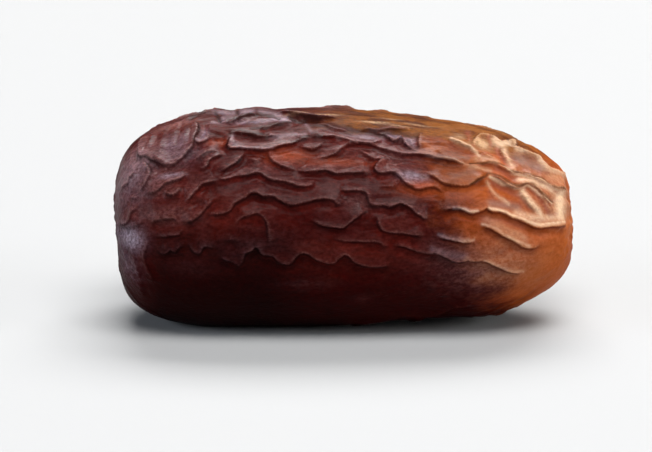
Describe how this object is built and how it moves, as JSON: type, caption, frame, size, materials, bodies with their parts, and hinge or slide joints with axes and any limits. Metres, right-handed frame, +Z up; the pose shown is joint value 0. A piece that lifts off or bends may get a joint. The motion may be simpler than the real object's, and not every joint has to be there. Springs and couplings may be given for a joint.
{
  "type": "anbara date",
  "caption": "Large ripe date lying on its side, with a pleated dark brown skin that turns amber toward the stem end.",
  "frame": {"origin": "middle of the fruit's bounding box, on the surface that it lies on", "axes": "+X along the fruit toward the stem end, +Z up, and -Y toward the side seen in the picture"},
  "size_m": [0.0522, 0.0262, 0.0247],
  "materials": {
    "date_skin": "satin pleated fruit skin, dark maroon brown at the tip and amber at the stem end"
  },
  "bodies": {
    "root": {"date_fruit": "date_skin"}
  },
  "joints": []
}
